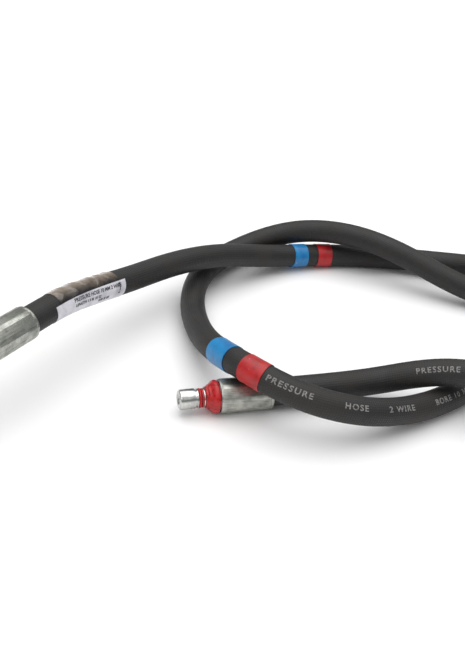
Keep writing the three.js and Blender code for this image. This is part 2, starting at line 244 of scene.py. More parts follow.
# A ramp from one colour to another, between two values of whatever drives it, with more stops if
# they are given.
def ramp(tree, driver, first, second, start=0.0, end=1.0, more=()):
    made = add_node(tree, "ValToRGB", {"Fac": driver})
    stops = made.color_ramp.elements
    stops[0].position = start
    stops[0].color = first
    stops[1].position = end
    stops[1].color = second
    for position, colour in more:
        stops.new(position).color = colour
    return made.outputs["Color"]


def grey(value):
    return (value, value, value, 1.0)


# Blender's wave texture repeats every pi / 10 at scale 1, and its noise about every 1.
def wave_scale(spacing):
    return math.pi / 10 / spacing


def noise_scale(size):
    return 1 / size


# %% [markdown]
# ## The rubber of the cover
#
# The outer cover is black synthetic rubber, cured in an oven under a tight wrap of wet nylon cloth.
# When the cloth is pulled off, its threads stay printed in the rubber as a fine cross-hatch, and the
# edges of the cloth strip leave a faint spiral. It is dull, a little warm where it is dusty, and
# never quite even. The pattern follows the hose through a UV map whose units are metres: across is
# the way round, and up is the way along. Two waves at right angles make the threads. Real threads
# are 0.5 mm apart, and they are drawn 1.5 mm apart so that they show. The colour is also darkened in
# the grooves between the threads, as painted shade.

# %% Material: cloth-wrapped rubber
THREAD_SPACING = 1.5 * MM
CLOTH_STRIP_WIDTH = 48 * MM
GIRTH = 55 * MM  # the way round the cover


def cloth_wrapped_rubber():
    material, tree = new_material("cloth-wrapped cured rubber")
    surface = add_node(tree, "UVMap", uv_map="hose").outputs["UV"]
    waves = []
    for direction in ("X", "Y"):
        wave = add_node(
            tree, "TexWave",
            {"Vector": surface, "Scale": wave_scale(THREAD_SPACING), "Distortion": 1.5, "Detail": 1.0},
            bands_direction=direction,
        )
        waves.append(wave.outputs["Fac"])
    threads = add_node(tree, "Math", {0: waves[0], 1: waves[1]}, operation="MULTIPLY")
    spiral = math.atan(CLOTH_STRIP_WIDTH / GIRTH)
    leaning = add_node(tree, "Mapping", {"Vector": surface, "Rotation": (0, 0, spiral)})
    strip = add_node(
        tree, "TexWave",
        {"Vector": leaning.outputs["Vector"], "Scale": wave_scale(CLOTH_STRIP_WIDTH)},
        bands_direction="Y", wave_profile="SAW",
    )
    strip_edge = ramp(tree, strip.outputs["Fac"], grey(0), grey(1), 0.94, 1.0)
    place = add_node(tree, "TexCoord").outputs["Object"]
    dust = add_node(tree, "TexNoise", {
        "Vector": place, "Scale": noise_scale(22 * MM), "Detail": 6.0, "Roughness": 0.62,
    })
    grain = add_node(tree, "TexNoise", {
        "Vector": place, "Scale": noise_scale(0.9 * MM), "Detail": 3.0, "Roughness": 0.6,
    })
    clean = linear("#181818")
    dusty = linear("#2e2925")
    body = ramp(tree, dust.outputs["Fac"], clean, dusty, 0.42, 0.78)
    # The thread waves darken the colour in the grooves between threads. This is painted shade, so that the
    # fine relief shows.
    thread_shaded = add_node(
        tree, "Mix",
        {0: 0.45, 6: body, 7: ramp(tree, threads.outputs["Value"], grey(0.35), grey(1), 0.0, 0.5)},
        data_type="RGBA", blend_type="MULTIPLY",
    )
    speck = ramp(tree, grain.outputs["Fac"], grey(0), grey(1), 0.62, 0.8)
    worn = add_node(
        tree, "Mix",
        {0: 0.012, 6: thread_shaded.outputs[2], 7: speck},
        data_type="RGBA", blend_type="ADD",
    )
    relief = add_node(
        tree, "Math",
        {0: strip_edge, 1: 0.8, 2: threads.outputs["Value"]},
        operation="MULTIPLY_ADD",
    )
    rough = add_node(tree, "MapRange", {
        "Value": dust.outputs["Fac"], "From Min": 0.3, "From Max": 0.7, "To Min": 0.5, "To Max": 0.68,
    })
    thread_bump = add_node(tree, "Bump", {
        "Height": relief.outputs["Value"], "Strength": 0.8, "Distance": 0.2 * MM,
    })
    grain_bump = add_node(tree, "Bump", {
        "Height": grain.outputs["Fac"], "Strength": 0.4, "Distance": 0.15 * MM,
        "Normal": thread_bump.outputs["Normal"],
    })
    close_material(tree, {
        "Base Color": worn.outputs[2], "Roughness": rough.outputs["Result"], "IOR": 1.52,
        "Normal": grain_bump.outputs["Normal"],
    })
    return material


cover_rubber = cloth_wrapped_rubber()
print("made", cover_rubber.name)

# %% [markdown]
# ## The layers of the hose
#
# From the bore outwards a hose like this is a smooth nitrile tube, two braids of brass-coated steel
# wire, and the rubber cover. A curve with a bevel would give the outside, but not the wall and not a
# UV map in metres, so each layer is a sleeve built from rings of vertices: an outer wall, an inner
# wall and a flat rim at each end. The same function later makes the tapes and the label, which are
# short sleeves or parts of one.

# %% A sleeve round the hose
HOSE_R = 8.75 * MM
COVER_INSIDE = 7.95 * MM
WHOLE_TURN = (0.0, FULL_TURN)


def sharpen(piece, degrees=35):
    select_only(piece)
    bpy.ops.object.shade_smooth_by_angle(angle=math.radians(degrees))


# It starts and ends at two distances and two angles. What swell gives is added to its radius, and
# lean is the angle by which its far end is turned.
def sleeve(name, inner, outer, start, end, ring_gap, columns, angles=WHOLE_TURN, swell=None, lean=0.0):
    rings = max(1, round((end - start) / ring_gap))
    first, last = angles
    whole = angles == WHOLE_TURN
    mesh = bmesh.new()
    uv_layer = mesh.loops.layers.uv.new("hose")
    walls = {outer: [], inner: []}
    flat = {}
    for ring in range(rings + 1):
        distance = start + (end - start) * ring / rings
        centre, along, side, up = section_at(distance)
        for radius, wall in walls.items():
            row = []
            for column in range(columns if whole else columns + 1):
                angle = first + (last - first) * column / columns + lean * ring / rings
                raised = radius + (swell(distance, angle) if swell else 0.0)
                spot = centre + raised * (math.cos(angle) * side + math.sin(angle) * up)
                vertex = mesh.verts.new(spot)
                flat[vertex] = (angle * outer, distance)
                row.append(vertex)
            if whole:
                row.append(row[0])
            wall.append(row)
    faces = []
    for low, high in zip(walls[outer], walls[outer][1:]):
        for i in range(columns):
            faces.append((low[i], low[i + 1], high[i + 1], high[i]))
    for low, high in zip(walls[inner], walls[inner][1:]):
        for i in range(columns):
            faces.append((low[i], high[i], high[i + 1], low[i + 1]))
    outside, inside = walls[outer], walls[inner]
    for i in range(columns):
        faces.append((outside[0][i], inside[0][i], inside[0][i + 1], outside[0][i + 1]))
        faces.append((outside[-1][i], outside[-1][i + 1], inside[-1][i + 1], inside[-1][i]))
    if not whole:
        for ring in range(rings):
            out_low, out_high = outside[ring], outside[ring + 1]
            in_low, in_high = inside[ring], inside[ring + 1]
            faces.append((out_low[0], out_high[0], in_high[0], in_low[0]))
            faces.append((out_low[-1], in_low[-1], in_high[-1], out_high[-1]))
    for corners in faces:
        face = mesh.faces.new(corners)
        face.smooth = True
        spots = [flat[vertex] for vertex in corners]
        wraps_round = max(u for u, v in spots) - min(u for u, v in spots) > math.pi * outer
        for loop, (u, v) in zip(face.loops, spots):
            if wraps_round and u < math.pi * outer:
                u += FULL_TURN * outer
            loop[uv_layer].uv = (u, v)
    data = bpy.data.meshes.new(name)
    mesh.to_mesh(data)
    mesh.free()
    piece = bpy.data.objects.new(name, data)
    bpy.context.collection.objects.link(piece)
    sharpen(piece)
    return piece


hose_cover = sleeve("rubber_cover", COVER_INSIDE, HOSE_R, 0.0, HOSE_LENGTH, 4 * MM, 32)
hand_over(hose_cover, cover_rubber, ["hose_cover"])

# %% [markdown]
# ## The inner tube and the wire braids
#
# The tube is nitrile rubber, extruded and smooth, with faint lines along it. The braids are steel
# wire of 0.3 mm, coated with brass so that the rubber sticks to it. They cross at the neutral angle
# of a pressure hose, about 54 degrees to its axis. Both are hidden once the fittings are on, and they
# are still made, so that the hose is whole if it is cut open. Their wires are drawn as two
# slanting waves.

# %% Materials: nitrile tube and brass-coated wire
WIRE_SPACING = 0.9 * MM
BRAID_ANGLE = math.radians(54)


def extruded_nitrile():
    material, tree = new_material("extruded nitrile rubber")
    surface = add_node(tree, "UVMap", uv_map="hose").outputs["UV"]
    lines = add_node(
        tree, "TexWave",
        {"Vector": surface, "Scale": wave_scale(1.6 * MM), "Distortion": 3.0, "Detail": 2.0},
        bands_direction="X",
    )
    colour = ramp(tree, lines.outputs["Fac"], linear("#1b1b1c"), linear("#262627"))
    bump = add_node(tree, "Bump", {
        "Height": lines.outputs["Fac"], "Strength": 0.3, "Distance": 0.03 * MM,
    })
    close_material(tree, {
        "Base Color": colour, "Roughness": 0.48, "IOR": 1.52, "Normal": bump.outputs["Normal"],
    })
    return material


def brass_coated_wire():
    material, tree = new_material("brass-coated steel wire braid")
    surface = add_node(tree, "UVMap", uv_map="hose").outputs["UV"]
    crossing = []
    for lean in (BRAID_ANGLE, -BRAID_ANGLE):
        turned = add_node(tree, "Mapping", {"Vector": surface, "Rotation": (0, 0, lean)})
        wave = add_node(
            tree, "TexWave",
            {"Vector": turned.outputs["Vector"], "Scale": wave_scale(WIRE_SPACING)},
            bands_direction="Y",
        )
        crossing.append(wave.outputs["Fac"])
    woven = add_node(tree, "Math", {0: crossing[0], 1: crossing[1]}, operation="MAXIMUM")
    colour = ramp(tree, woven.outputs["Value"], linear("#5c4a28"), linear("#c8a765"))
    bump = add_node(tree, "Bump", {
        "Height": woven.outputs["Value"], "Strength": 0.8, "Distance": 0.15 * MM,
    })
    close_material(tree, {
        "Base Color": colour, "Metallic": 1.0, "Roughness": 0.38, "Normal": bump.outputs["Normal"],
    })
    return material


nitrile = extruded_nitrile()
braid_wire = brass_coated_wire()

# %% The three inner layers
INNER_LAYERS = [
    ("nitrile_tube", 5.0 * MM, 6.2 * MM, nitrile, "inner_rubber", "hose_inner_tube"),
    ("inner_wire_braid", 6.5 * MM, 6.9 * MM, braid_wire, "braid_wire", "hose_inner_braid"),
    ("outer_wire_braid", 7.2 * MM, 7.6 * MM, braid_wire, "braid_wire", "hose_outer_braid"),
]
for name, inner, outer, material, slot, node in INNER_LAYERS:
    layer = sleeve(name, inner, outer, 0.0, HOSE_LENGTH, 8 * MM, 24)
    hand_over(layer, material, [node])

# %% [markdown]
# ## The marker bands
#
# Coloured vinyl tape marks which hose belongs to which port. It is wound once round with a short
# overlap, so there is a small step where its end lies on its start, and it is smooth and slightly
# glossy with a few scuffs and white specks where dust has caught on the glue. The step is made by
# letting the radius grow over the last part of the turn.

# %% Material: vinyl tape
def vinyl_tape(name, bright, dark):
    material, tree = new_material(name)
    place = add_node(tree, "TexCoord").outputs["Object"]
    clouds = add_node(tree, "TexNoise", {
        "Vector": place, "Scale": noise_scale(9 * MM), "Detail": 4.0, "Roughness": 0.6,
    })
    specks = add_node(tree, "TexNoise", {
        "Vector": place, "Scale": noise_scale(1.3 * MM), "Detail": 2.0, "Roughness": 0.5,
    })
    body = ramp(tree, clouds.outputs["Fac"], linear(dark), linear(bright), 0.35, 0.6)
    caught = ramp(tree, specks.outputs["Fac"], grey(0), grey(1), 0.74, 0.78)
    dusted = add_node(tree, "Mix", {0: caught, 6: body, 7: linear("#c9ced6")}, data_type="RGBA")
    surface = add_node(tree, "UVMap", uv_map="hose").outputs["UV"]
    stretch = add_node(
        tree, "TexWave",
        {"Vector": surface, "Scale": wave_scale(3.5 * MM), "Distortion": 6.0, "Detail": 2.0},
        bands_direction="Y",
    )
    bump = add_node(tree, "Bump", {
        "Height": stretch.outputs["Fac"], "Strength": 0.35, "Distance": 0.08 * MM,
    })
    rough = add_node(tree, "MapRange", {
        "Value": clouds.outputs["Fac"], "From Min": 0.3, "From Max": 0.7, "To Min": 0.3, "To Max": 0.46,
    })
    close_material(tree, {
        "Base Color": dusted.outputs[2], "Roughness": rough.outputs["Result"], "IOR": 1.53,
        "Normal": bump.outputs["Normal"],
    })
    return material


blue_tape = vinyl_tape("blue vinyl tape", "#1482bd", "#0a6aa6")
red_tape = vinyl_tape("red vinyl tape", "#b3161b", "#8c0e12")

# %% The four bands
TAPE_FROM = 8.8 * MM  # just over the cover
TAPE_TO = 9.15 * MM
TAPE_OVERLAP = math.radians(35)
OVERLAP_STEP = 0.18 * MM
STEP_ANGLE = math.radians(4)


def tape_swell(distance, angle):
    into_overlap = angle - (FULL_TURN - TAPE_OVERLAP)
    return OVERLAP_STEP * min(max(into_overlap / STEP_ANGLE, 0.0), 1.0)


# Each band's node, middle and width in millimetres, tape, and finish name.
BANDS = [
    ("marker_band_blue_plug_side", 1086, 19, blue_tape, "blue_tape"),
    ("marker_band_red_plug_side", 1116, 15, red_tape, "red_tape"),
    ("marker_band_red_elbow_side", 1598, 12.5, red_tape, "red_tape"),
    ("marker_band_blue_elbow_side", 1620, 12.5, blue_tape, "blue_tape"),
]
for node, middle, width, material, slot in BANDS:
    start = (middle - width / 2) * MM
    end = (middle + width / 2) * MM
    name = node.replace("marker_band", "tape")
    band = sleeve(name, TAPE_FROM, TAPE_TO, start, end, 1.5 * MM, 72, swell=tape_swell)
    hand_over(band, material, [node])

# %% [markdown]
# ## The label and its film
#
# Near the elbow the maker wraps a small printed paper label round the hose and binds it with clear
# adhesive film. The paper shows on the lower front. Over the top the film lies on bare rubber, where
# it has yellowed and crumpled, so it looks brown-grey with sharp little folds that catch the light.
# The paper is a part of a sleeve with one corner lifted. The film is the rest of the turn, and its
# radius follows ridged noise, which has the sharp crests that crumpled film has.

# %% Materials: label paper and crumpled film
LABEL_FROM = 1802 * MM
LABEL_TO = 1864 * MM
PAPER_TO = LABEL_TO + 4.5 * MM
FILM_FROM = LABEL_FROM + 5 * MM
PAPER_ANGLES = (math.radians(-75), math.radians(42))
FILM_ANGLES = (math.radians(43), math.radians(284))
LABEL_LEAN = math.radians(-9)  # it is stuck on a little askew
PAPER_R = 9.05 * MM
FILM_R = 9.0 * MM
LABEL_WALL = 0.15 * MM
DARK_EDGE = math.radians(75)  # the film is darkest beside the paper


def coated_label_paper():
    material, tree = new_material("coated label paper")
    place = add_node(tree, "TexCoord").outputs["Object"]
    pulp = add_node(tree, "TexNoise", {
        "Vector": place, "Scale": noise_scale(0.8 * MM), "Detail": 4.0, "Roughness": 0.7,
    })
    smudge = add_node(tree, "TexNoise", {
        "Vector": place, "Scale": noise_scale(11 * MM), "Detail": 5.0, "Roughness": 0.6,
    })
    colour = ramp(tree, smudge.outputs["Fac"], linear("#bdbcc6"), linear("#e2e1e8"), 0.34, 0.58)
    bump = add_node(tree, "Bump", {
        "Height": pulp.outputs["Fac"], "Strength": 0.35, "Distance": 0.05 * MM,
    })
    close_material(tree, {
        "Base Color": colour, "Roughness": 0.5, "IOR": 1.5, "Coat Weight": 0.4,
        "Coat Roughness": 0.15, "Normal": bump.outputs["Normal"],
    })
    return material


def crumpled_film():
    material, tree = new_material("crumpled adhesive film")
    surface = add_node(tree, "UVMap", uv_map="hose").outputs["UV"]
    apart = add_node(tree, "SeparateXYZ", {"Vector": surface})
    round_way = add_node(
        tree, "MapRange",
        {
            "Value": apart.outputs["X"],
            "From Min": FILM_ANGLES[0] * FILM_R,
            "From Max": (FILM_ANGLES[0] + DARK_EDGE) * FILM_R,
        },
    )
    place = add_node(tree, "TexCoord").outputs["Object"]
    clouds = add_node(
        tree, "TexNoise",
        {
            "Vector": place,
            "Scale": noise_scale(7 * MM),
            "Detail": 6.0,
            "Roughness": 0.65,
            "Distortion": 1.2,
        },
    )
    uneven = add_node(
        tree, "Math",
        {0: clouds.outputs["Fac"], 1: 0.7, 2: round_way.outputs["Result"]},
        operation="MULTIPLY_ADD",
    )
    colour = ramp(
        tree, uneven.outputs["Value"], linear("#141211"), linear("#4b3f33"), 0.38, 0.62,
        [(1.0, linear("#8a7d70"))],
    )
    creases = add_node(
        tree, "TexNoise",
        {"Vector": place, "Scale": noise_scale(9 * MM), "Detail": 3.0, "Roughness": 0.5},
        noise_type="RIDGED_MULTIFRACTAL",
    )
    bump = add_node(tree, "Bump", {
        "Height": creases.outputs["Fac"], "Strength": 0.5, "Distance": 0.25 * MM,
    })
    close_material(tree, {
        "Base Color": colour, "Roughness": 0.28, "IOR": 1.47, "Coat Weight": 0.6,
        "Coat Roughness": 0.08, "Normal": bump.outputs["Normal"],
    })
    return material


label_paper = coated_label_paper()
film = crumpled_film()

# %% The paper label
CORNER_LIFT = 0.7 * MM
LIFTED_LENGTH = 4 * MM
LIFTED_ANGLE = math.radians(90)


def paper_swell(distance, angle):
    near_start = max(0.0, 1 - (distance - LABEL_FROM) / LIFTED_LENGTH)
    near_top = max(0.0, 1 - (PAPER_ANGLES[1] - angle) / LIFTED_ANGLE)
    return CORNER_LIFT * near_start**2 * near_top


label = sleeve(
    "paper_label", PAPER_R - LABEL_WALL, PAPER_R, LABEL_FROM, PAPER_TO, 1 * MM, 24,
    PAPER_ANGLES, paper_swell, LABEL_LEAN,
)
hand_over(label, label_paper, ["hose_label"])

# %% The crumpled film
CREASE_SIZE = 11 * MM
CREASE_HEIGHT = 0.4 * MM
CREASE_SHARPNESS = 12
EDGE_FADE = 3 * MM


def film_swell(distance, angle):
    spot = Vector((distance, angle * FILM_R, 0)) / CREASE_SIZE
    ridge = 1 - abs(noise.noise(spot))
    from_ends = min(distance - FILM_FROM, LABEL_TO - distance) / EDGE_FADE
    return CREASE_HEIGHT * ridge**CREASE_SHARPNESS * min(max(from_ends, 0.2), 1.0)


label_film = sleeve(
    "label_film_wrap", FILM_R - LABEL_WALL, FILM_R, FILM_FROM, LABEL_TO, 0.6 * MM, 110,
    FILM_ANGLES, film_swell, LABEL_LEAN,
)
hand_over(label_film, film, ["label_film"])

# %% [markdown]
# ## Print on the hose and on the label
#
# An ink-jet printer marks the hose while it is made, in small grey letters that repeat along
# its lay line. Only plain words and the size are printed here. A text object is turned into a
# mesh, cut into narrow strips so that it can bend, and every vertex is then moved from the flat page
# to its distance and angle on the hose. The letters keep a little thickness, so the ink is a closed
# shape.

# %% Material: printing ink
def printing_ink(name, dense, thin, roughness):
    material, tree = new_material(name)
    place = add_node(tree, "TexCoord").outputs["Object"]
    patchy = add_node(tree, "TexNoise", {
        "Vector": place, "Scale": noise_scale(0.9 * MM), "Detail": 3.0, "Roughness": 0.7,
    })
    colour = ramp(tree, patchy.outputs["Fac"], linear(thin), linear(dense), 0.36, 0.56)
    bump = add_node(tree, "Bump", {
        "Height": patchy.outputs["Fac"], "Strength": 0.3, "Distance": 0.05 * MM,
    })
    close_material(tree, {
        "Base Color": colour, "Roughness": roughness, "IOR": 1.5, "Normal": bump.outputs["Normal"],
    })
    return material


grey_ink = printing_ink("grey hose-marking ink", "#8f8d8b", "#4a4949", 0.7)
black_ink = printing_ink("black label ink", "#17171a", "#3a3a40", 0.5)

# %% Bending words round the hose
INK_THICKNESS = 0.03 * MM
LETTER_SHAPE = 0.7  # height of a capital, as a part of the font's size
STRIP = 0.5 * MM
STROKE_GROWS = 0.11 * MM  # thin strokes spread as the ink dries


# The words start at a distance along the hose and run forwards (1) or backwards (-1) along it.
def words_on_hose(name, words, start, angle, height, radius, material, reads=1, spacing=1.0):
    nothing_selected()
    bpy.ops.object.text_add()
    piece = bpy.context.object
    piece.name = name
    piece.data.body = words
    piece.data.size = height / LETTER_SHAPE
    piece.data.space_character = spacing
    piece.data.resolution_u = 3
    piece.data.offset = STROKE_GROWS
    piece.data.extrude = INK_THICKNESS / 2
    bpy.ops.object.convert(target="MESH")
    bpy.ops.object.mode_set(mode="EDIT")
    bpy.ops.mesh.select_all(action="SELECT")
    bpy.ops.mesh.remove_doubles(threshold=TOUCHING)
    strips = round(height / STRIP)
    for i in range(1, strips):
        bpy.ops.mesh.select_all(action="SELECT")
        bpy.ops.mesh.bisect(plane_co=(0, height * i / strips, 0), plane_no=(0, 1, 0))
    bpy.ops.object.mode_set(mode="OBJECT")
    for vertex in piece.data.vertices:
        x, y, z = vertex.co
        turned = angle - reads * (y - height / 2) / radius
        vertex.co = on_hose(start + reads * x, turned, radius + INK_THICKNESS / 2 + z)
    piece.data.update()
    piece.data.materials.clear()
    piece.data.materials.append(material)
    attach(piece, HOSE_BODY)
    print(f"{name}: {len(piece.data.polygons)} faces, {round(piece.dimensions.length / MM)} mm long")
    return piece


# %% The words on the hose
LETTER_HEIGHT = 3.6 * MM
LAY_LINE = math.radians(133)
LETTER_SPACING = 1.25
HOSE_WORDS = [  # each with the distance at which it starts, in millimetres
    ("PRESSURE", 128), ("HOSE", 173),
    ("PRESSURE", 1126), ("HOSE", 1171), ("2 WIRE", 1200), ("BORE 10 MM", 1238),
]
for words, start in HOSE_WORDS:
    name = f"print_{words.lower().replace(' ', '_')}_{start}"
    row = words_on_hose(
        name, words, start * MM, LAY_LINE, LETTER_HEIGHT, HOSE_R, grey_ink, spacing=LETTER_SPACING
    )

# %% The words on the label
# Each row's name, words, start in millimetres, angle in degrees and height in millimetres.
LABEL_ROWS = [
    ("label_print_top_row", "PRESSURE HOSE 10 MM 2 WIRE", 1853, 23, 2.4),
    ("label_print_low_row", "LENGTH 1.9 M  01 02", 1852, 0, 1.9),
    ("label_print_bracket", "]", 1809, 16, 5.5),
    ("label_print_bars", "IIIIII III IIII", 1829, -17, 2.0),
]
for name, words, start, degrees, height in LABEL_ROWS:
    row = words_on_hose(
        name, words, start * MM, math.radians(degrees), height * MM, PAPER_R, black_ink, reads=-1
    )

# %% [markdown]
# ## Zinc-plated steel
#
# The fittings are turned from steel bar and zinc plated: a light grey metal, very slightly yellow,
# bright where the tool left a fine finish and cloudy where the plating is thicker. Turning leaves
# rings across the axis, about 0.15 mm apart, and they are drawn twice as far apart so that they show.
# The ferrules were pressed by steel jaws, which rubbed streaks along them and left them duller.
# Both patterns are noise that is stretched: flat across the axis for rings, long for streaks.
# The Mapping node's Texture type takes the size of one patch in metres.

# %% Material: zinc plating
def zinc_plated(name, patch, heading, bright, dull, smooth, rough, depth):
    material, tree = new_material(name)
    place = add_node(tree, "TexCoord").outputs["Object"]
    stretched = add_node(
        tree, "Mapping",
        {"Vector": place, "Rotation": heading, "Scale": patch},
        vector_type="TEXTURE",
    )
    marks = add_node(tree, "TexNoise", {
        "Vector": stretched.outputs["Vector"], "Scale": 1.0, "Detail": 4.0, "Roughness": 0.6,
    })
    clouds = add_node(tree, "TexNoise", {
        "Vector": place, "Scale": noise_scale(5 * MM), "Detail": 5.0, "Roughness": 0.6,
    })
    pits = add_node(tree, "TexNoise", {
        "Vector": place, "Scale": noise_scale(0.7 * MM), "Detail": 2.0, "Roughness": 0.5,
    })
    mixed = add_node(
        tree, "Math",
        {0: marks.outputs["Fac"], 1: 0.6, 2: clouds.outputs["Fac"]},
        operation="MULTIPLY_ADD",
    )
    colour = ramp(tree, mixed.outputs["Value"], linear(dull), linear(bright), 0.55, 0.95)
    roughness = add_node(
        tree, "MapRange",
        {
            "Value": mixed.outputs["Value"],
            "From Min": 0.5,
            "From Max": 1.0,
            "To Min": rough,
            "To Max": smooth,
        },
    )
    mark_bump = add_node(tree, "Bump", {
        "Height": marks.outputs["Fac"], "Strength": 0.5, "Distance": depth,
    })
    pitted = ramp(tree, pits.outputs["Fac"], grey(0), grey(1), 0.3, 0.4)
    pit_bump = add_node(tree, "Bump", {
        "Height": pitted, "Strength": 0.3, "Distance": depth, "Normal": mark_bump.outputs["Normal"],
    })
    close_material(tree, {
        "Base Color": colour, "Metallic": 1.0, "Roughness": roughness.outputs["Result"],
        "Normal": pit_bump.outputs["Normal"],
    })
    return material


elbow_end = Vector(ROUTE[-1])
outwards = (elbow_end - Vector(ROUTE[-2])).normalized()
elbow_heading = math.atan2(outwards.y, outwards.x)
RING_PATCH = (0.3 * MM, 40 * MM, 40 * MM)
STREAK_PATCH = (14 * MM, 0.7 * MM, 0.7 * MM)
LEVEL_RING_PATCH = (40 * MM, 40 * MM, 0.3 * MM)
UNTURNED = (0, 0, 0)
TOOL_MARK = 0.02 * MM
JAW_MARK = 0.09 * MM
zinc_plug = zinc_plated(
    "turned zinc-plated steel, plug", RING_PATCH, UNTURNED, "#cfd0cd", "#a9aaa6", 0.16, 0.32, TOOL_MARK
)
zinc_nut = zinc_plated(
    "turned zinc-plated steel, nut", LEVEL_RING_PATCH, UNTURNED, "#cccdc8", "#a3a49e", 0.2, 0.36, TOOL_MARK
)
zinc_plug_ferrule = zinc_plated(
    "crimped zinc-plated steel, plug", STREAK_PATCH, UNTURNED, "#b9bab3", "#7c7e77", 0.3, 0.5, JAW_MARK
)
along_elbow_end = (0, 0, elbow_heading)
zinc_elbow_ferrule = zinc_plated(
    "crimped zinc-plated steel, elbow", STREAK_PATCH, along_elbow_end, "#b2b4ad", "#74766f", 0.24, 0.46,
    JAW_MARK,
)

# %% [markdown]
# ## Turning a fitting
#
# Fittings are round, so they are made as on a lathe. The outline goes once round the section and
# back to its start. A circle is added at the first point, and for every next point its edge is
# extruded along the axis and scaled to the new radius. Merging the last ring with the first closes
# the shape. A bevel then rounds the corners, because a real edge is never perfectly sharp and it is
# the rounded edge that catches the light. Heights run outwards from the ferrule's front face.

# %% A lathe made of extrusions
def merge_and_turn_outwards():
    bpy.ops.mesh.select_all(action="SELECT")
    bpy.ops.mesh.remove_doubles(threshold=TOUCHING)
    bpy.ops.mesh.normals_make_consistent(inside=False)


def start_ring(name, sides, radius, height):
    nothing_selected()
    bpy.ops.mesh.primitive_circle_add(vertices=sides, radius=radius * MM)
    piece = bpy.context.object
    piece.name = name
    bpy.ops.object.mode_set(mode="EDIT")
    bpy.ops.mesh.select_mode(type="VERT")
    bpy.ops.mesh.select_all(action="SELECT")
    bpy.ops.transform.translate(value=(0, 0, height * MM))
    return piece


def extrude_up(old, new):
    bpy.ops.mesh.extrude_region_move(TRANSFORM_OT_translate={"value": (0, 0, (new[1] - old[1]) * MM)})
    grow = new[0] / old[0]
    bpy.ops.transform.resize(value=(grow, grow, 1), center_override=(0, 0, new[1] * MM))


def turn(name, outline, sides, hollow=True):
    piece = start_ring(name, sides, *outline[0])
    ends = [*outline, outline[0]] if hollow else outline
    for old, new in zip(ends, ends[1:]):
        extrude_up(old, new)
    merge_and_turn_outwards()
    if not hollow:
        bpy.ops.mesh.fill_holes(sides=0)
        merge_and_turn_outwards()
    bpy.ops.object.mode_set(mode="OBJECT")
    return piece


def apply_modifier(piece, kind, settings):
    select_only(piece)
    modifier = piece.modifiers.new(kind.lower(), kind)
    for name, value in settings.items():
        setattr(modifier, name, value)
    bpy.ops.object.modifier_apply(modifier=modifier.name)


def round_edges(piece, width, degrees=25):
    settings = {
        "width": width * MM,
        "segments": 2,
        "limit_method": "ANGLE",
        "angle_limit": math.radians(degrees),
    }
    apply_modifier(piece, "BEVEL", settings)
    sharpen(piece, 40)


def put_in_place(piece, matrix):
    select_only(piece)
    piece.matrix_world = matrix
    bpy.ops.object.transform_apply(location=True, rotation=True, scale=True)


# The plug is made about +Z and laid along -X. The elbow end is made along +Z with its nose to +X.
HOSE_INSIDE = 1.5 * MM
plug_front = Vector(ROUTE[0]) - Vector((HOSE_INSIDE, 0, 0))
plug_axes = Matrix(((0, 0, 1), (0, 1, 0), (-1, 0, 0))).transposed()
PLUG_FRAME = Matrix.Translation(plug_front) @ plug_axes.to_4x4()
down = Vector((0, 0, -1))
elbow_axes = Matrix((down, outwards.cross(down), outwards)).transposed()
ELBOW_FRAME = Matrix.Translation(elbow_end + outwards * HOSE_INSIDE) @ elbow_axes.to_4x4()

# %% [markdown]
# The plug's insert has a barbed tail inside the hose, a collar in the ferrule's mouth, and outside it
# a neck for the dust ring, a land, the groove of the O-ring, the narrow groove where the coupling's
# lock ring snaps in, and the smooth tip that finds its way into the coupling.

# %% The plug's insert
FLOW_R = 2.75
COLLAR_R = 8.8
COLLAR_LENGTH = 1.2
TAIL_LENGTH = 29
TAIL_R = 4
BARB_R = 4.3
BARBS = 3
BARB_PITCH = 8
FIRST_BARB = 1 - TAIL_LENGTH


def tail_outline(bore):
    outline = [(bore, -TAIL_LENGTH), (TAIL_R, -TAIL_LENGTH)]
    for barb in range(BARBS):
        foot = FIRST_BARB + barb * BARB_PITCH
        outline += [(TAIL_R, foot), (BARB_R, foot + 5.6), (BARB_R, foot + 6.8), (TAIL_R, foot + 6.9)]
    outline += [(TAIL_R, -COLLAR_LENGTH), (COLLAR_R, -COLLAR_LENGTH), (COLLAR_R, 0)]
    return outline


PLUG_OUTLINE = [
    *tail_outline(FLOW_R), (5.6, 0), (5.6, 9), (6, 9), (6, 9.8), (4.05, 9.8), (4.05, 13.2),
    (6, 13.2), (6, 13.9), (5.3, 13.9), (5.3, 15.1), (6.3, 15.1), (6.3, 23.7), (6.1, 24.4),
    (5.4, 24.9), (3.6, 24.9), (FLOW_R, 24.1),
]
plug_insert = turn("plug_insert_turned", PLUG_OUTLINE, 72)
round_edges(plug_insert, 0.12)
put_in_place(plug_insert, PLUG_FRAME)
hand_over(plug_insert, zinc_plug, ["plug_insert"])

# %% [markdown]
# ## The ferrules
#
# A ferrule starts as a plain sleeve. The crimping press closes eight jaws on it, which leaves eight
# flats with narrow ridges between them where metal was squeezed up. The sleeve is turned first, and
# then cut by one plane per flat, as the jaws do it: bisect with the outer side cleared and the cut
# filled. One ferrule is made, and the second is a copy with its own mesh.

# %% The ferrules
FLAT_R = 10.6
RIDGE_R = 11
FERRULE_LENGTH = 33.5
CRIMP_FLATS = 8
FERRULE_OUTLINE = [
    (9.2, -FERRULE_LENGTH), (10.0, -FERRULE_LENGTH), (10.5, -FERRULE_LENGTH + 0.4),
    (10.58, -FERRULE_LENGTH + 1.5), (10.2, -FERRULE_LENGTH + 1.8), (10.2, -FERRULE_LENGTH + 2.1),
    (RIDGE_R, -FERRULE_LENGTH + 2.5), (RIDGE_R, -1.4), (10.55, -0.7), (10.3, 0), (9.2, 0),
]


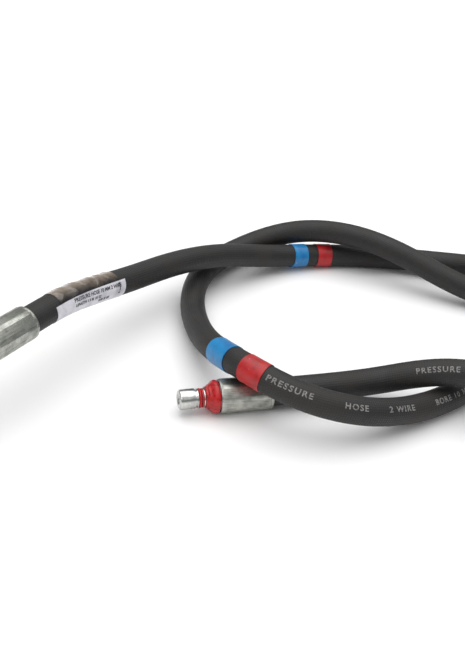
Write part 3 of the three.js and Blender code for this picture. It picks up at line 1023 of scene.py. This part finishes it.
def crimp(piece):
    select_only(piece)
    bpy.ops.object.mode_set(mode="EDIT")
    for jaw in range(CRIMP_FLATS):
        angle = jaw * FULL_TURN / CRIMP_FLATS
        facing = Vector((math.cos(angle), math.sin(angle), 0))
        bpy.ops.mesh.select_all(action="SELECT")
        flat = facing * FLAT_R * MM
        bpy.ops.mesh.bisect(plane_co=flat, plane_no=facing, use_fill=True, clear_outer=True)
    bpy.ops.object.mode_set(mode="OBJECT")


plug_ferrule = turn("plug_ferrule_crimped", FERRULE_OUTLINE, 96)
crimp(plug_ferrule)
round_edges(plug_ferrule, 0.35, 9)
elbow_ferrule = plug_ferrule.copy()
elbow_ferrule.data = plug_ferrule.data.copy()
elbow_ferrule.name = "elbow_ferrule_crimped"
bpy.context.collection.objects.link(elbow_ferrule)
put_in_place(plug_ferrule, PLUG_FRAME)
put_in_place(elbow_ferrule, ELBOW_FRAME)
hand_over(plug_ferrule, zinc_plug_ferrule, ["plug_ferrule"])
hand_over(elbow_ferrule, zinc_elbow_ferrule, ["elbow_ferrule"])

# %% [markdown]
# ## The rubber rings
#
# The plug seals with a red O-ring, held off the sharp side of its groove by a flat back-up ring, and
# a flared dust ring keeps grit out of the coupling. They are moulded rubber, so they are glossy, with
# a thin flash line where the two halves of the mould met. The O-rings start as a torus, are squeezed
# a little, as they are in their grooves, and get their flash line by scaling the outermost loop.

# %% Material: moulded rubber
def moulded_rubber(name, bright, dark, smooth, rough):
    material, tree = new_material(name)
    place = add_node(tree, "TexCoord").outputs["Object"]
    clouds = add_node(tree, "TexNoise", {
        "Vector": place, "Scale": noise_scale(3 * MM), "Detail": 4.0, "Roughness": 0.6,
    })
    skin = add_node(tree, "TexNoise", {
        "Vector": place, "Scale": noise_scale(0.5 * MM), "Detail": 3.0, "Roughness": 0.6,
    })
    colour = ramp(tree, clouds.outputs["Fac"], linear(dark), linear(bright), 0.34, 0.6)
    roughness = add_node(
        tree, "MapRange",
        {
            "Value": clouds.outputs["Fac"],
            "From Min": 0.3,
            "From Max": 0.7,
            "To Min": smooth,
            "To Max": rough,
        },
    )
    bump = add_node(tree, "Bump", {
        "Height": skin.outputs["Fac"], "Strength": 0.35, "Distance": 0.08 * MM,
    })
    close_material(tree, {
        "Base Color": colour, "Roughness": roughness.outputs["Result"], "IOR": 1.5,
        "Normal": bump.outputs["Normal"],
    })
    return material


red_rubber = moulded_rubber("moulded red rubber", "#bb1015", "#8d080c", 0.22, 0.38)
black_rubber = moulded_rubber("moulded black nitrile rubber", "#1d1d1f", "#111113", 0.3, 0.5)


# %% The O-rings
SEAL_WIRE_R = 0.9
SQUEEZED = 0.94
FLASH = 0.06


def o_ring(name, centre_r, height):
    nothing_selected()
    bpy.ops.mesh.primitive_torus_add(
        major_radius=centre_r * MM, minor_radius=SEAL_WIRE_R * MM, major_segments=72, minor_segments=20
    )
    piece = bpy.context.object
    piece.name = name
    bpy.ops.object.mode_set(mode="EDIT")
    bpy.ops.mesh.select_mode(type="VERT")
    bpy.ops.mesh.select_all(action="SELECT")
    bpy.ops.transform.resize(value=(1, 1, SQUEEZED), center_override=(0, 0, 0))
    bpy.ops.mesh.select_all(action="DESELECT")
    bpy.ops.object.mode_set(mode="OBJECT")
    outer_r = centre_r + SEAL_WIRE_R
    for vertex in piece.data.vertices:
        vertex.select = vertex.co.xy.length > outer_r * MM - TOUCHING
    bpy.ops.object.mode_set(mode="EDIT")
    grow = 1 + FLASH / outer_r
    bpy.ops.transform.resize(value=(grow, grow, 1), center_override=(0, 0, 0))
    bpy.ops.mesh.select_all(action="SELECT")
    bpy.ops.transform.translate(value=(0, 0, height * MM))
    bpy.ops.object.mode_set(mode="OBJECT")
    sharpen(piece, 60)
    return piece


plug_o_ring = o_ring("plug_o_ring_moulded", 5.25, 12.0)
put_in_place(plug_o_ring, PLUG_FRAME)
hand_over(plug_o_ring, red_rubber, ["plug_o_ring"])

# %% The back-up ring and the dust ring
BACK_UP_OUTLINE = [(4.35, 10), (5.95, 10), (5.95, 10.9), (4.35, 10.9)]
back_up_ring = turn("plug_back_up_ring_cut", BACK_UP_OUTLINE, 64)
round_edges(back_up_ring, 0.12)
put_in_place(back_up_ring, PLUG_FRAME)
hand_over(back_up_ring, red_rubber, ["plug_back_up_ring"])

DUST_RING_OUTLINE = [
    (5.9, 0.3), (8.8, 0.3), (9.3, 0.9), (9.9, 0.5), (10.35, 1.1), (10.5, 2.0), (10.35, 2.9),
    (9.8, 3.8), (8.9, 4.8), (8.2, 5.5), (8.05, 5.9), (7.9, 6.6), (7.3, 7.1), (6.9, 7.3),
    (6.85, 7.7), (6.8, 8.3), (6.5, 8.7), (5.9, 8.7),
]
dust_ring = turn("plug_dust_ring_flared", DUST_RING_OUTLINE, 80)
round_edges(dust_ring, 0.1)
put_in_place(dust_ring, PLUG_FRAME)
hand_over(dust_ring, red_rubber, ["plug_dust_ring"])

# %% [markdown]
# ## The elbow
#
# The other end is a pipe bent through a right angle, with the same barbed tail on one side and a
# sealing nose on the other. The nose has the standard 24 degree cone with an O-ring in it. The ring
# of vertices is carried all the way: up the tail, round the bend with the spin tool, down the nose,
# in to the bore, and back through the bore to where it started.

# %% The elbow's insert
ELBOW_R = 6.4
BEND_R = 21
STRAIGHT = 9
ELBOW_HEIGHT = 50
REACH = STRAIGHT + BEND_R
BEND_STEPS = 18
NOSE_BACK = 14.7
SHOULDER = 13.7
NOSE_R = 8.7
CONE_TOP = 12.2
CONE_TOP_R = 7.7
NOSE_TIP = 5.6
CONE_SLOPE = math.tan(math.radians(12))


def cone_r(height):
    return CONE_TOP_R - (CONE_TOP - height) * CONE_SLOPE


GROOVE_LOW = 8.4
GROOVE_HIGH = 10.9
GROOVE_R = cone_r(GROOVE_LOW) - 1.3
NOSE_OUTLINE = [
    (ELBOW_R, NOSE_BACK), (NOSE_R, SHOULDER), (NOSE_R, CONE_TOP), (CONE_TOP_R, CONE_TOP),
    (cone_r(GROOVE_HIGH), GROOVE_HIGH), (GROOVE_R, GROOVE_HIGH), (GROOVE_R, GROOVE_LOW),
    (cone_r(GROOVE_LOW), GROOVE_LOW), (cone_r(NOSE_TIP), NOSE_TIP), (FLOW_R, NOSE_TIP),
]


def extrude_along_nose(old, new):
    bpy.ops.mesh.extrude_region_move(TRANSFORM_OT_translate={"value": ((old[1] - new[1]) * MM, 0, 0)})
    grow = new[0] / old[0]
    middle = ((ELBOW_HEIGHT - new[1]) * MM, 0, REACH * MM)
    bpy.ops.transform.resize(value=(1, grow, grow), center_override=middle)


# The spin tool turns clockwise round its axis, so the axis points to -Y for a bend from +Z to +X.
def bend(turn_angle):
    bpy.ops.mesh.spin(
        steps=BEND_STEPS, angle=turn_angle, center=(BEND_R * MM, 0, STRAIGHT * MM), axis=(0, -1, 0)
    )


pipe_start = [*tail_outline(FLOW_R)[1:], (ELBOW_R, 0), (ELBOW_R, STRAIGHT)]
elbow_insert = start_ring("elbow_insert_bent", 48, *pipe_start[0])
for old, new in zip(pipe_start, pipe_start[1:]):
    extrude_up(old, new)
bend(math.pi / 2)
nose_start = (ELBOW_R, ELBOW_HEIGHT - BEND_R)
nose_steps = [nose_start, *NOSE_OUTLINE, (FLOW_R, ELBOW_HEIGHT - BEND_R)]
for old, new in zip(nose_steps, nose_steps[1:]):
    extrude_along_nose(old, new)
bend(-math.pi / 2)
extrude_up((FLOW_R, STRAIGHT), (FLOW_R, -TAIL_LENGTH))
extrude_up((FLOW_R, -TAIL_LENGTH), (TAIL_R, -TAIL_LENGTH))
merge_and_turn_outwards()
bpy.ops.object.mode_set(mode="OBJECT")
round_edges(elbow_insert, 0.15)
put_in_place(elbow_insert, ELBOW_FRAME)
hand_over(elbow_insert, zinc_nut, ["elbow_insert"])

# %% [markdown]
# The cone's O-ring sits in the groove of the nose, under the nut, and seals when the nut is pulled
# tight. It is made with the same function, and placed through a frame that has the nut's axis as +Z.

# %% The cone's O-ring
NUT_FRAME = (
    ELBOW_FRAME
    @ Matrix.Translation((ELBOW_HEIGHT * MM, 0, REACH * MM))
    @ Matrix.Rotation(-math.pi / 2, 4, "Y")
)
RING_CLEARANCE = 0.3
CONE_RING_R = GROOVE_R + RING_CLEARANCE + SEAL_WIRE_R
cone_o_ring = o_ring("cone_o_ring_moulded", CONE_RING_R, (GROOVE_LOW + GROOVE_HIGH) / 2)
put_in_place(cone_o_ring, NUT_FRAME)
hand_over(cone_o_ring, black_rubber, ["cone_o_ring"])

# %% [markdown]
# ## The swivel nut
#
# The nut is hexagon bar, chamfered to 30 degrees at both ends on the lathe, with an inside thread of
# M20 x 1.5 and a neck that catches the shoulder of the nose. A six-sided cylinder is cut down to a
# chamfered bar with one boolean, and a second one cuts the hole. The thread is drawn as separate
# grooves, one for each turn, because only its rows of crests are ever seen.

# %% The swivel nut
NUT_FLATS = 24
NUT_HEIGHT = 20
THREAD_CREST_R = 9.2
THREAD_ROOT_R = 10
THREAD_PITCH = 1.5
THREAD_TURNS = 8
NECK_R = 6.9
CHAMFER_ANGLE = math.radians(30)
FACE_INSET = 0.3


def cut_with(piece, tool, operation):
    apply_modifier(piece, "BOOLEAN", {"object": tool, "operation": operation, "solver": "EXACT"})
    bpy.data.objects.remove(tool, do_unlink=True)


corner_r = NUT_FLATS / 2 / math.cos(math.pi / 6)
face_r = NUT_FLATS / 2 - FACE_INSET
rise = (corner_r + 1 - face_r) * math.tan(CHAMFER_ANGLE)
bar_outline = [
    (face_r, 0), (corner_r + 1, rise), (corner_r + 1, NUT_HEIGHT - rise), (face_r, NUT_HEIGHT),
]
hole_outline = [(THREAD_ROOT_R + 1, -1), (THREAD_CREST_R, 0.8)]
for groove in range(THREAD_TURNS):
    low = 1 + groove * THREAD_PITCH
    hole_outline += [
        (THREAD_CREST_R, low),
        (THREAD_ROOT_R, low + 0.65),
        (THREAD_ROOT_R, low + 0.85),
        (THREAD_CREST_R, low + 1.4),
    ]
hole_outline += [(THREAD_CREST_R, 14), (NECK_R, 15), (NECK_R, NUT_HEIGHT + 1)]

nothing_selected()
bpy.ops.mesh.primitive_cylinder_add(vertices=6, radius=corner_r * MM, depth=NUT_HEIGHT * MM)
swivel_nut = bpy.context.object
swivel_nut.name = "swivel_nut_hexagon"
bpy.ops.object.mode_set(mode="EDIT")
bpy.ops.mesh.select_all(action="SELECT")
bpy.ops.transform.translate(value=(0, 0, NUT_HEIGHT * MM / 2))
bpy.ops.object.mode_set(mode="OBJECT")
round_edges(swivel_nut, 0.3)
cut_with(swivel_nut, turn("bar", bar_outline, 96, hollow=False), "INTERSECT")
cut_with(swivel_nut, turn("hole", hole_outline, 96, hollow=False), "DIFFERENCE")
sharpen(swivel_nut, 12)
put_in_place(swivel_nut, NUT_FRAME)
hand_over(swivel_nut, zinc_nut, ["swivel_nut"], NUT_BODY)

# %% [markdown]
# ## Points along the hose
#
# The line of the hose is sampled at evenly spaced distances, from the plug's end to the elbow's end.

# %% Points along the hose
STEPS_OF_PATH = 480
path = [centre_at(HOSE_LENGTH * i / STEPS_OF_PATH) for i in range(STEPS_OF_PATH + 1)]

# %% [markdown]
# ## Floor and light
#
# The hose lies on a white sweep under large soft lights. The floor is plain and pale. One large area
# light hangs overhead, a smaller one helps from the front left, and the world behind them is bright
# above and at the horizon, with a grey belt between, because polished metal only looks like metal
# when it has something darker to reflect beside something bright.

# %% Floor
bpy.ops.mesh.primitive_plane_add(size=40)
floor = bpy.context.object
floor.name = "floor"


def pale_floor():
    material, tree = new_material("matt white sweep")
    place = add_node(tree, "TexCoord").outputs["Object"]
    paper = add_node(tree, "TexNoise", {"Vector": place, "Scale": noise_scale(0.2)})
    colour = ramp(tree, paper.outputs["Fac"], linear("#f6f6f6"), linear("#fafafa"))
    close_material(tree, {"Base Color": colour, "Roughness": 0.9})
    return material


floor.data.materials.append(pale_floor())

# %% Lights
# Both lights shine at the origin.
def soft_light(name, size, watts, place):
    data = bpy.data.lights.new(name, "AREA")
    data.shape = "SQUARE"
    data.size = size
    data.energy = watts
    light = bpy.data.objects.new(name, data)
    bpy.context.collection.objects.link(light)
    light.location = place
    light.rotation_euler = (-Vector(place)).to_track_quat("-Z", "Y").to_euler()


soft_light("overhead", 3.0, 44, (0.1, 0.4, 2.2))
soft_light("front left", 0.8, 2.5, (-0.9, -0.7, 1.0))

world = bpy.data.worlds.new("studio")
world.use_nodes = True
bpy.context.scene.world = world
sky = world.node_tree
sky.nodes.clear()
direction = add_node(sky, "TexCoord").outputs["Generated"]
split = add_node(sky, "SeparateXYZ", {"Vector": direction})
belt = grey(0.3)
shade = ramp(sky, split.outputs["Z"], grey(0.9), grey(1.0), 0.1, 0.62, [(0.2, belt), (0.4, belt)])
background = add_node(sky, "Background", {"Color": shade, "Strength": 0.75})
add_node(sky, "OutputWorld", {"Surface": background.outputs["Background"]})
bpy.context.scene.view_settings.view_transform = "Standard"
